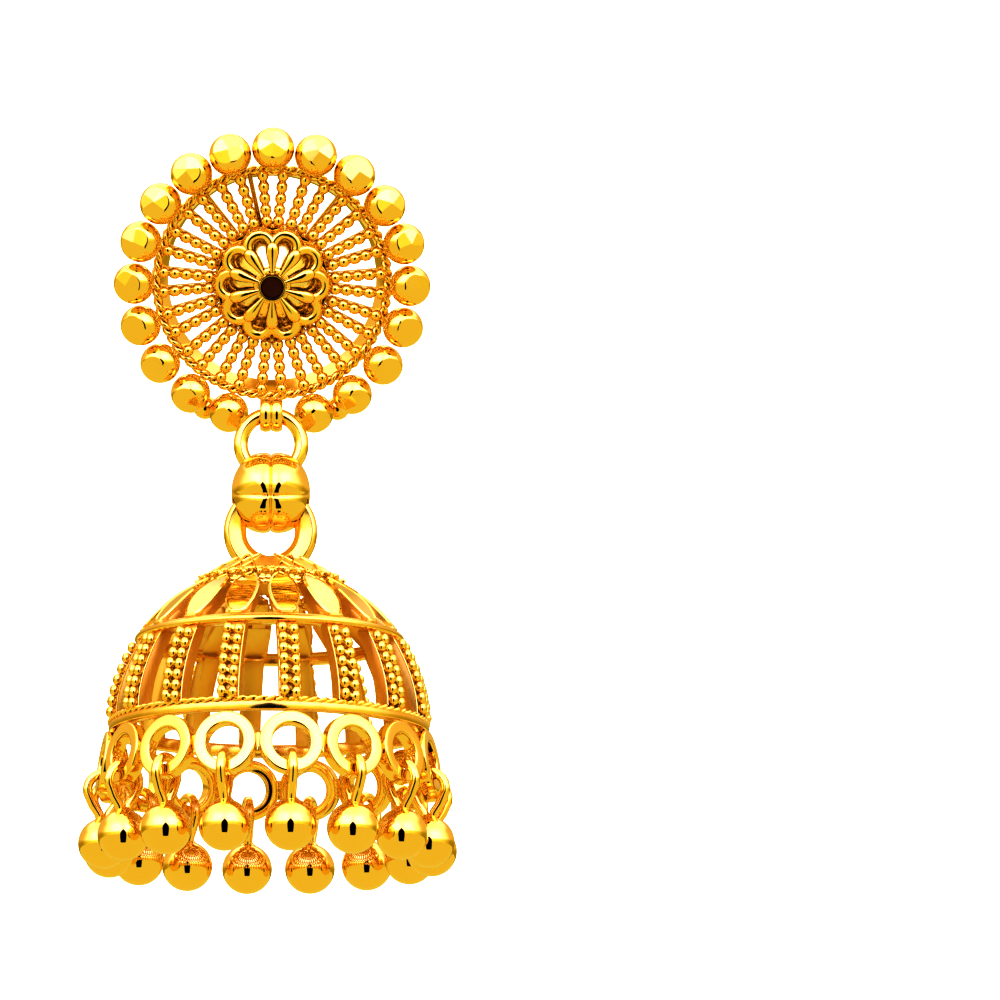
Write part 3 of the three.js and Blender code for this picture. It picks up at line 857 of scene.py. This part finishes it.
def leaf(bm, rows, start, length, width, rim, recess, crease, depth, place, bow=0.0, spread=0.0):
    # a leaf with a raised rim, a creased mirror face and spread side walls, bowed outward along its length
    edge = [(row["along"], row["half"]) for row in rows]
    outline = [(start + a * length, -h * width / 2) for a, h in edge]
    outline += [(start + a * length, h * width / 2) for a, h in reversed(edge)]
    before = set(bm.verts)
    face = bm.faces.new([bm.verts.new((x, y, 0)) for x, y in outline])
    wall = bmesh.ops.extrude_face_region(bm, geom=[face])
    top = [item for item in wall["geom"] if isinstance(item, bmesh.types.BMFace)][0]
    for vert in face.verts:
        vert.co.y *= 1 + spread / (width / 2)
        vert.co.x += spread * (2 * (vert.co.x - start) / length - 1)
        vert.co.z -= depth
    bmesh.ops.inset_region(bm, faces=[top], thickness=rim, use_even_offset=True)
    for vert in top.verts:
        vert.co.z -= recess + crease * (1 - min(abs(vert.co.y) / (width / 2), 1))
    around = list(top.verts) + list(top.edges) + [top]
    bmesh.ops.bisect_plane(bm, geom=around, dist=1e-5, plane_co=(0, 0, 0), plane_no=(0, 1, 0))
    for strip in range(1, 8):
        bmesh.ops.bisect_plane(bm, geom=everything(bm), dist=1e-5, plane_co=(start + length * strip / 8, 0, 0),
                               plane_no=(1, 0, 0))
    made = [vert for vert in bm.verts if vert not in before]
    for vert in made:
        if abs(vert.co.y) < 1e-4 and vert.co.z < -recess * 0.5 and vert.co.z > -depth * 0.9:
            vert.co.z = -recess - crease
    for vert in made:
        along = min(max((vert.co.x - start) / length, 0), 1)
        vert.co.z += bow * math.sin(along * math.pi)
    bmesh.ops.transform(bm, matrix=place, verts=made)


def petalLeaves(c):
    bm = bmesh.new()
    place, length = slopePlace(c, c["phase"] - 90)
    leaf(bm, c["leafRows"], c["leafStart"], length * c["leafShare"] - c["leafStart"], c["leafWidth"], c["rim"],
         c["recess"], c["crease"], c["depth"], place @ Matrix.Translation((0, 0, c["lift"])), c["bow"],
         c["leafSpread"])
    roundCopies(bm, c["fold"])
    return bm


def crownBody(c):
    bm = bmesh.new()
    wall = c["capWall"]
    capEdge = c["capRadius"]
    turned(bm, [
        (0, c["top"] - wall), (c["capFlat"], c["top"] - wall), (capEdge - 0.4, c["top"] - c["capDrop"] - 0.1),
        (capEdge - 0.1, c["top"] - c["capDrop"] - 0.05), (capEdge, c["top"] - c["capDrop"] + 0.05),
        (capEdge - 0.15, c["top"] - c["capDrop"] + 0.2), (c["capFlat"] + 0.7, c["top"] - 0.3),
        (c["capFlat"], c["top"]), (0, c["top"]),
    ], 96, closed=False)
    foot = c["top"] - c["height"]
    turned(bm, rounded([(c["radius"] - 0.75, foot - c["footDrop"]), (c["radius"], foot - c["footDrop"]),
                        (c["radius"] - 0.1, foot + 0.06), (c["radius"] - 0.75, foot + 0.06)], 0.08), 128)
    struts = bmesh.new()
    place, length = slopePlace(c, c["phase"] - 90)
    leaf(struts, c["leafRows"], c["leafStart"], length * c["leafShare"] - c["leafStart"],
         c["leafWidth"] - c["wallInset"], c["rim"], 0.01, 0.0, c["wallDepth"],
         place @ Matrix.Translation((0, 0, c["lift"] - c["depth"] * 0.8)), c["bow"])
    for long, wide, high, along, level, bevel in (
        (length * 0.5, 0.9, 0.6, length * 0.7, -0.45, 0.06),
        (length * 0.5, 0.5, 0.6, length * 0.3, -0.42, 0.06),
        (0.5, 0.42, 0.5, length - 0.05, -0.2, 0.08),
    ):
        block(struts, (long, c["leafWidth"] * wide, high), place @ Matrix.Translation((along, 0, level)), bevel)
    roundCopies(struts, c["fold"])
    merged(bm, struts)
    return bm


def crownGrains(c):
    bm = bmesh.new()
    middle = c["phase"] - 90 + 180 / c["fold"]
    place, length = slopePlace(c, middle)
    for x, y, z, size in (
        (-0.1, 0.0, 0.1, 0.24), (0.1, -0.36, 0.08, 0.22), (0.1, 0.36, 0.08, 0.22),
        (0.5, -0.16, -0.04, 0.2), (0.55, 0.18, -0.06, 0.19), (0.9, 0.0, -0.15, 0.17),
    ):
        ball(bm, size, place @ Matrix.Translation((x, y, z)) @ Matrix.Diagonal((1, 1, 0.8, 1)), 8, 6)
    block(bm, (0.3, 0.3, 0.3), place @ Matrix.Translation((0.2, 0, 0.28)), 0.05)
    for step, half in ((0.75, 0.34), (1.15, 0.28)):
        points = [place @ Vector((step + 0.08 * (1 - (y / half) ** 2), y, 0.05 - step * 0.12))
                  for y in (-half, -half / 2, 0, half / 2, half)]
        wire(bm, points, c["stepWire"], sides=6)
    roundCopies(bm, c["fold"])
    edge = bmesh.new()
    twistedRope(edge, c["capRadius"] - 0.08, c["top"] - c["capDrop"] + 0.12, c["capRope"], 36, 7, 5)
    merged(bm, edge)
    tier = bmesh.new()
    slope = c["capDrop"] / (c["capRadius"] - c["capFlat"])
    for side in (-1, 1):
        points = []
        steps = 18
        for step in range(steps):
            turn = 2 * math.pi * step / steps
            radius = c["tierMiddle"] + c["tierReach"] * math.cos(turn)
            y = 0.42 * math.sin(turn) * (radius / c["tierMiddle"]) + side * 0.5 * (radius - 3.2)
            z = c["top"] + 0.14 - slope * max(radius - c["capFlat"], 0) * 0.94
            points.append(turnAbout("Z", middle) @ Vector((radius, y, z)))
        wire(tier, points, c["tierWire"], sides=6, closed=True)
    roundCopies(tier, c["fold"] // 2)
    merged(bm, tier)
    return bm


finished(petalLeaves(crown), "petalLeaves", bellPlace, "drop", ["petal_crown"], polishedGold, sharp=15)
finished(crownBody(crown), "crownBody", bellPlace, "drop", ["petal_crown"], wallGold, sharp=35)
finished(crownGrains(crown), "crownGrains", bellPlace, "drop", ["petal_crown"], granuleGold, sharp=60)
print("crown made")

# Cage of the bell
cage = {
    "midRadius": 8.32,
    "midTop": -12.15,
    "midHeight": 0.6,
    "midDepth": 1.0,
    "pillarHeight": 4.85,
    "pillarWidth": 1.2,
    "pillarDepth": 0.95,
    "foot": 9.85,
    "edgeWire": 0.06,
    "sink": 0.24,
    "columns": 0.35,
    "granuleHalf": (0.3, 0.325, 0.36),
    "rows": 7,
    "stagger": 0.16,
    "neck": 0.15,
    "bandRadius": 9.95,
    "bandHeight": 0.75,
    "bandDepth": 0.85,
    "ropeStrand": 0.11,
    "ropeTwists": 48,
}
pillarTop = cage["midTop"] - cage["midHeight"]
pillarBase = pillarTop - cage["pillarHeight"]
bandBase = pillarBase - cage["bandHeight"]
firstPlace = Matrix.Rotation(math.radians(crown["phase"] - 90), 3, "Z")


def pillarSpot(c, fall):
    # the outer line of a pillar swells quickly and then runs down to its foot
    swell = math.sin(min(max(fall, 0), 1) * math.pi / 2) ** 0.9 if fall > 0 else 0
    return c["midRadius"] + swell * (c["foot"] - c["midRadius"]), pillarTop - fall * c["pillarHeight"]


def cageBands(c):
    bm = bmesh.new()
    top = c["midTop"]
    middle = top - c["midHeight"] / 2
    turned(bm, rounded([
        (c["midRadius"] - c["midDepth"], pillarTop), (c["midRadius"] - 0.12, pillarTop),
        (c["midRadius"] + 0.06, middle - 0.1), (c["midRadius"] + 0.06, middle + 0.1), (c["midRadius"] - 0.16, top),
        (c["midRadius"] - c["midDepth"], top),
    ], 0.14, 4), 160)
    turned(bm, rounded([
        (c["bandRadius"] - c["bandDepth"], bandBase), (c["bandRadius"], bandBase),
        (c["bandRadius"], bandBase + c["bandHeight"] * 0.62), (c["bandRadius"] - 0.22, pillarBase),
        (c["bandRadius"] - c["bandDepth"], pillarBase),
    ], 0.1), 160)
    return bm


def pillarPosts(c):
    bm = bmesh.new()
    steps = 9
    outer = [pillarSpot(c, -0.04 + 1.08 * step / steps) for step in range(steps + 1)]
    outer = [(r - c["sink"], z) for r, z in outer]
    inner = [(r - c["pillarDepth"], z) for r, z in reversed(outer)]
    half = c["pillarWidth"] / 2
    face = bm.faces.new([bm.verts.new((r, -half, z)) for r, z in outer + inner])
    wall = bmesh.ops.extrude_face_region(bm, geom=[face])
    bmesh.ops.translate(bm, verts=newVerts(wall), vec=(0, 2 * half, 0))
    sharp = [edge for edge in bm.edges if len(edge.link_faces) == 2 and edge.calc_face_angle(0) > 0.7]
    bmesh.ops.bevel(bm, geom=sharp, offset=0.05, segments=2, affect="EDGES", profile=0.5, material=-1)
    bmesh.ops.rotate(bm, verts=bm.verts, cent=(0, 0, 0), matrix=firstPlace)
    roundCopies(bm, crown["fold"])
    return bm


def pillarGrains(c):
    bm = bmesh.new()
    way = turnAbout("Z", crown["phase"] - 90)
    for row in range(c["rows"]):
        for side in (-1, 1):
            fall = (row + 0.5 + c["stagger"] * (side + 1) / 2) / (c["rows"] + c["stagger"])
            radius, z = pillarSpot(c, fall)
            ball(bm, 1, way @ Matrix.Translation((radius + 0.03, side * c["columns"], z))
                 @ Matrix.Diagonal((*c["granuleHalf"], 1)), 10, 7)
        ends = []
        for side in (-1, 1):
            radius, z = pillarSpot(c, (row + 0.5 + side * 0.22) / c["rows"])
            ends.append(way @ Vector((radius + 0.06, side * c["columns"] * 0.8, z)))
        wire(bm, ends, c["neck"], sides=6, side=(0, 1, 0.3))
    half = c["pillarWidth"] / 2
    for side in (-1, 1):
        points = []
        for step in range(9):
            radius, z = pillarSpot(c, step / 8)
            points.append(way @ Vector((radius - c["sink"], side * half, z)))
        wire(bm, points, c["edgeWire"], sides=6, side=(0, 1, 0.2))
    roundCopies(bm, crown["fold"])
    edge = bmesh.new()
    twistedRope(edge, c["bandRadius"] - 0.13, pillarBase - 0.1, c["ropeStrand"], c["ropeTwists"])
    merged(bm, edge)
    return bm


finished(cageBands(cage), "cageBands", bellPlace, "drop", ["bell_cage"], castGold, sharp=45)
finished(pillarPosts(cage), "pillarPosts", bellPlace, "drop", ["bell_cage"], wallGold, sharp=35)
finished(pillarGrains(cage), "pillarGrains", bellPlace, "drop", ["bell_cage"], granuleGold, sharp=60)
print("cage made")

# Fringe: washers, wire loops and balls
fringe = {
    "circle": 10.05,
    "hole": 1.16,
    "hang": 1.175,
    "washerDepth": 0.85,
    "flare": 8,
    "wire": 0.26,
    "wireLook": 0.3,
    "loopWidth": 2.6,
    "loopLength": 3.05,
    "ball": 1.58,
    "gap": 0.05,
    "running": 0.12,
}
washerRadius = fringe["circle"] * math.sin(math.pi / crown["fold"])
washerLevel = bandBase - fringe["gap"] - washerRadius * 1.01 * math.cos(math.radians(fringe["flare"])) - (
    fringe["washerDepth"] / 2) * math.sin(math.radians(fringe["flare"]))


def washers(f):
    bm = bmesh.new()
    half = f["washerDepth"] / 2
    place = Matrix.Translation((f["circle"], 0, washerLevel)) @ turnAbout("Y", -f["flare"])
    place = place @ turnAbout("X", 90) @ turnAbout("Y", 90)
    turned(bm, rounded([
        (f["hole"], -half), (washerRadius - 0.02, -half), (washerRadius - 0.02, half), (f["hole"], half),
    ], 0.13), 56, place=place)
    bmesh.ops.rotate(bm, verts=bm.verts, cent=(0, 0, 0), matrix=firstPlace)
    solder = turnAbout("Z", crown["phase"] - 90 + 180 / crown["fold"])
    solder = solder @ Matrix.Translation((f["circle"] - 0.15, 0, washerLevel))
    block(bm, (0.62, 0.3, 1.25), solder @ turnAbout("Y", -f["flare"]), 0.1, 3)
    roundCopies(bm, crown["fold"])
    return bm


finished(washers(fringe), "washerRow", bellPlace, "drop", ["washer_row"], polishedGold, sharp=50)


def ballDrop(f, angle):
    bm = bmesh.new()
    flareTurn = math.radians(f["flare"])
    arch = (f["loopWidth"] - 2 * f["wire"]) / 2
    seat = math.sqrt((arch - f["wire"]) ** 2 - (f["washerDepth"] / 2 + f["running"]) ** 2) - f["gap"]
    spot = turnAbout("Z", angle) @ Matrix.Translation((
        f["circle"] + f["hang"] * math.sin(flareTurn), 0, washerLevel - f["hang"] * math.cos(flareTurn) - seat))
    foot = arch - f["loopLength"] + f["wire"]
    points = [Vector((-arch * 0.2, 0, foot - 0.15)), Vector((-arch * 0.3, 0, foot + 0.25)),
              Vector((-arch * 0.66, 0, foot * 0.55))]
    for step in range(13):
        turn = math.radians(192 - 204 * step / 12)
        points.append(Vector((arch * math.cos(turn), 0, arch * math.sin(turn))))
    points += [Vector((-point.x, 0, point.z)) for point in reversed(points[:3])]
    wire(bm, points, f["wireLook"], sides=12, side=(0, 1, 0))
    ball(bm, f["ball"], Matrix.Translation((0, 0, foot - f["ball"])), 48, 28)
    turned(bm, [(0, foot + 0.16), (0.34, foot + 0.12), (0.5, foot - 0.02), (0.62, foot - 0.16), (0, foot - 0.3)], 24,
           closed=False)
    bmesh.ops.transform(bm, matrix=spot, verts=bm.verts)
    return bm


for place in range(crown["fold"]):
    angle = crown["phase"] - 90 + 360 / crown["fold"] * place
    finished(ballDrop(fringe, angle), f"ballDrop{place + 1:02d}", bellPlace, "drop", [f"ball_drop_{place + 1:02d}"],
             polishedGold, sharp=50)
print("fringe made")

# Stage, light and camera
view = {
    "distance": 0.400,
    "elevation": -11.0,
    "lens": 230.4,
    "sensor": 36.0,
    "targetDrop": 0.00345,
    "sideShift": 0.01433,
    "floorDrop": 0.30,
    "gamma": 0.5,
}
target = ringMiddle + Vector((0, 0, -view["targetDrop"]))
rise = math.radians(view["elevation"])
lookFrom = target + Vector((0, -math.cos(rise), math.sin(rise))) * view["distance"]
lookAt = target + Vector((view["sideShift"], 0, 0))
cameraData = bpy.data.cameras.new("camera")
cameraData.lens = view["lens"]
cameraData.sensor_width = view["sensor"]
camera = bpy.data.objects.new("camera", cameraData)
camera.location = lookFrom
camera.rotation_euler = (lookAt - lookFrom).to_track_quat("-Z", "Y").to_euler()
bpy.context.scene.collection.objects.link(camera)
bpy.context.scene.camera = camera
bpy.context.scene.view_settings.view_transform = "Standard"
bpy.context.scene.view_settings.gamma = view["gamma"]


def plainMaterial(name, color, roughness):
    material, _, _, shader = shaderMaterial(name)
    shader.inputs["Base Color"].default_value = (*color, 1)
    shader.inputs["Roughness"].default_value = roughness
    shader.inputs["Specular IOR Level"].default_value = 0
    return material


def stagePlane(name, width, depth, place, material):
    bm = bmesh.new()
    bmesh.ops.create_grid(bm, x_segments=1, y_segments=1, size=0.5,
                          matrix=place @ Matrix.Diagonal((width, depth, 1, 1)))
    plane = meshObject(bm, name, material)
    return plane


stagePlane("floor", 8.0, 8.0, Matrix.Translation((0, 0, -view["floorDrop"])),
           plainMaterial("paleFloor", (0.646, 0.66, 0.49), 0.8))
sheet = stagePlane("warmSheet", 8.0, 8.0, Matrix.Translation((0, 0, 0.001 - view["floorDrop"])),
                   plainMaterial("warmPaper", (0.62, 0.60, 0.21), 0.8))

# The warm sheet over the floor shows only in the gold's reflections, and so does a dark flag before the object. The
# flag has a pointed top.
flag = {
    "away": 0.30,
    "foot": -0.288,
    "top": 0.063,
    "half": 0.072,
    "outline": ((0.0, 1.0), (0.68, 1.0), (0.8, 0.84), (0.9, 0.5), (1.0, 0.0)),
}


def darkFlag(f):
    bm = bmesh.new()
    height = f["top"] - f["foot"]
    right = [(half * f["half"], f["foot"] + up * height) for up, half in f["outline"]]
    left = [(-x, z) for x, z in reversed(right[:-1])]
    bm.faces.new([bm.verts.new((x, -f["away"], z)) for x, z in right + left])
    return meshObject(bm, "darkFlag", plainMaterial("blackCloth", (0.0, 0.0, 0.0), 1.0))


card = darkFlag(flag)
for hidden in (card, sheet):
    hidden.visible_camera = False
    hidden.visible_shadow = False
    hidden.visible_diffuse = False

# Colour of the studio by height and by turn from the front, both as steps of a ramp
studio = {
    "strength": 2.0,
    "seen": 1.0,
    "heights": (
        (0.0, (0.62, 0.60, 0.30)),
        (0.1, (0.66, 0.64, 0.32)),
        (0.2, (1.0, 0.98, 1.75)),
        (0.6, (1.0, 0.99, 1.95)),
        (1.0, (0.85, 0.84, 1.2)),
    ),
    "turns": (
        (0.0, (0.75, 0.74, 0.7)),
        (0.03, (0.78, 0.77, 0.73)),
        (0.07, (0.95, 0.95, 0.95)),
        (0.19, (1.0, 1.0, 1.0)),
        (0.21, (0.85, 0.83, 0.8)),
        (0.23, (1.0, 1.0, 1.0)),
        (0.45, (0.75, 0.73, 0.46)),
        (0.6, (0.5, 0.43, 0.14)),
        (1.0, (0.42, 0.34, 0.09)),
    ),
    "overhead": (0.55, 0.85),
    "overheadColor": (0.95, 0.95, 0.72),
}


def studioWorld(s):
    world = bpy.data.worlds.new("studio")
    bpy.context.scene.world = world
    world.use_nodes = True
    nodes = world.node_tree.nodes
    link = world.node_tree.links.new
    background = nodes["Background"]
    coords = nodes.new("ShaderNodeTexCoord")
    parts = nodes.new("ShaderNodeSeparateXYZ")
    link(coords.outputs["Generated"], parts.inputs["Vector"])
    turn = mathNode(nodes, "ARCTAN2")
    back = mathNode(nodes, "MULTIPLY")
    link(parts.outputs["Y"], back.inputs[0])
    back.inputs[1].default_value = -1
    link(parts.outputs["X"], turn.inputs[0])
    link(back.outputs["Value"], turn.inputs[1])
    spread = mathNode(nodes, "ABSOLUTE")
    link(turn.outputs["Value"], spread.inputs[0])
    share = mathNode(nodes, "DIVIDE")
    link(spread.outputs["Value"], share.inputs[0])
    share.inputs[1].default_value = math.pi
    tones = []
    for source, steps in ((parts.outputs["Z"], s["heights"]), (share.outputs["Value"], s["turns"])):
        ramp = nodes.new("ShaderNodeValToRGB")
        link(source, ramp.inputs["Fac"])
        points = ramp.color_ramp.elements
        for place, color in steps[1:-1]:
            points.new(place).color = (*color, 1)
        for point, (place, color) in ((points[0], steps[0]), (points[-1], steps[-1])):
            point.position = place
            point.color = (*color, 1)
        tones.append(ramp.outputs["Color"])
    above = nodes.new("ShaderNodeMapRange")
    link(parts.outputs["Z"], above.inputs["Value"])
    above.inputs["From Min"].default_value = s["overhead"][0]
    above.inputs["From Max"].default_value = s["overhead"][1]
    canopy = colorMix(nodes)
    link(above.outputs["Result"], canopy.inputs["Factor"])
    link(tones[1], canopy.inputs["A"])
    canopy.inputs["B"].default_value = (*s["overheadColor"], 1)
    joint = colorMix(nodes)
    joint.blend_type = "MULTIPLY"
    joint.inputs["Factor"].default_value = 1.0
    link(tones[0], joint.inputs["A"])
    link(canopy.outputs["Result"], joint.inputs["B"])
    path = nodes.new("ShaderNodeLightPath")
    seen = colorMix(nodes)
    link(path.outputs["Is Camera Ray"], seen.inputs["Factor"])
    link(joint.outputs["Result"], seen.inputs["A"])
    seen.inputs["B"].default_value = (s["seen"], s["seen"], s["seen"], 1)
    link(seen.outputs["Result"], background.inputs["Color"])
    background.inputs["Strength"].default_value = s["strength"]


studioWorld(studio)
print("stage, light and camera set")
